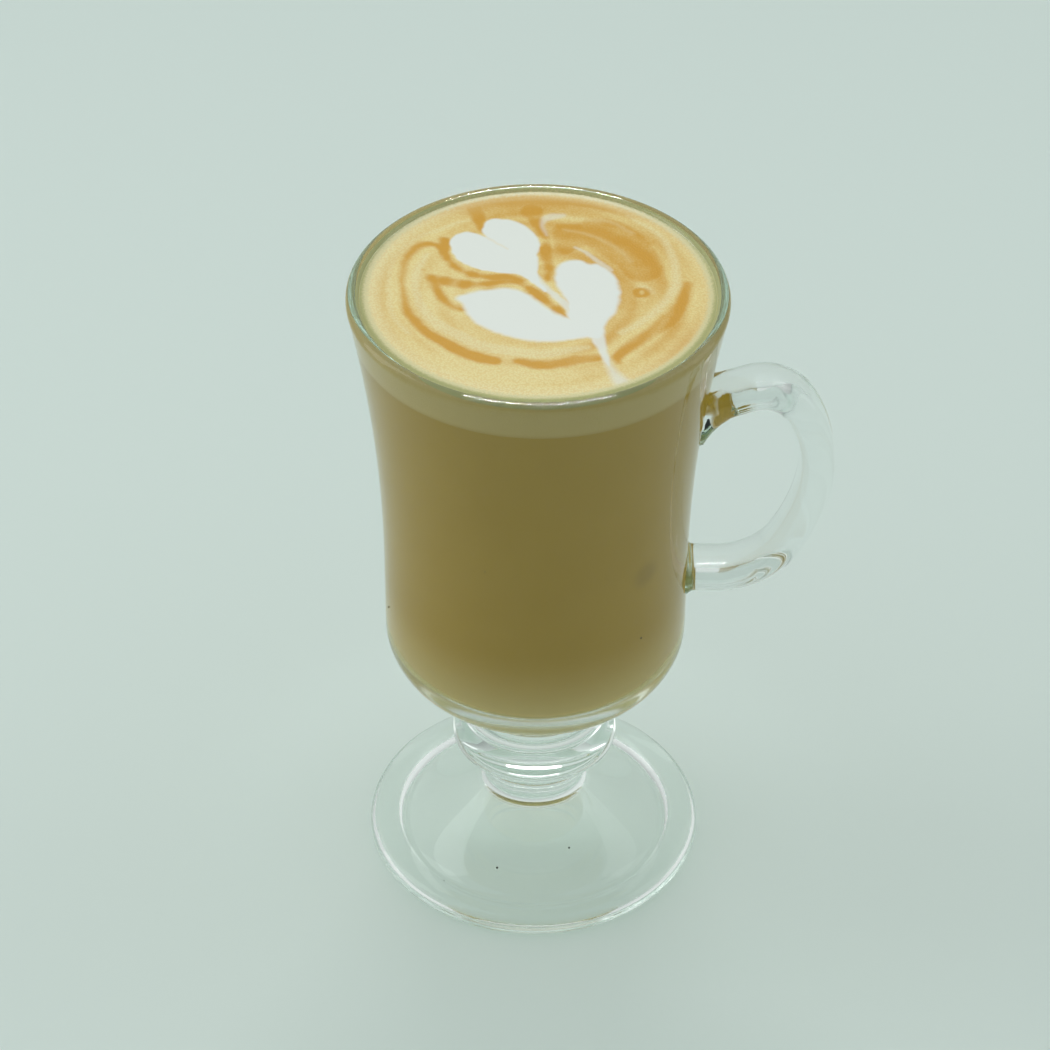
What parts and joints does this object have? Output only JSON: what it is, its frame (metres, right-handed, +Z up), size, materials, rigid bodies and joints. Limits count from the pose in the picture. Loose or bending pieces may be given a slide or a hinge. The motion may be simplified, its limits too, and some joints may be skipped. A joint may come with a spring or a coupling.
{
  "type": "latte in a footed glass mug",
  "caption": "Milk coffee under a layer of foam with a poured leaf pattern, in a clear glass mug with a flared bowl, a knobbed stem, a round foot and a loop handle.",
  "frame": {"origin": "on the mug's axis, in the plane of the flat ring that stands on the table", "axes": "+Z up along the mug's axis, +X towards the middle of the handle, +Y to the left of the handle as seen from the axis"},
  "size_m": [0.1, 0.077, 0.1476],
  "materials": {
    "clear_glass": "clear pressed glass, smooth and shiny, with a faint green tint in its thick parts",
    "milk_coffee": "opaque milky coffee, wet against the glass",
    "milk_foam": "fine wet milk foam stained by coffee, with white poured foam on top"
  },
  "bodies": {
    "root": {"glass_mug": "clear_glass", "milk_coffee": "milk_coffee", "milk_foam": "milk_foam"}
  },
  "joints": []
}
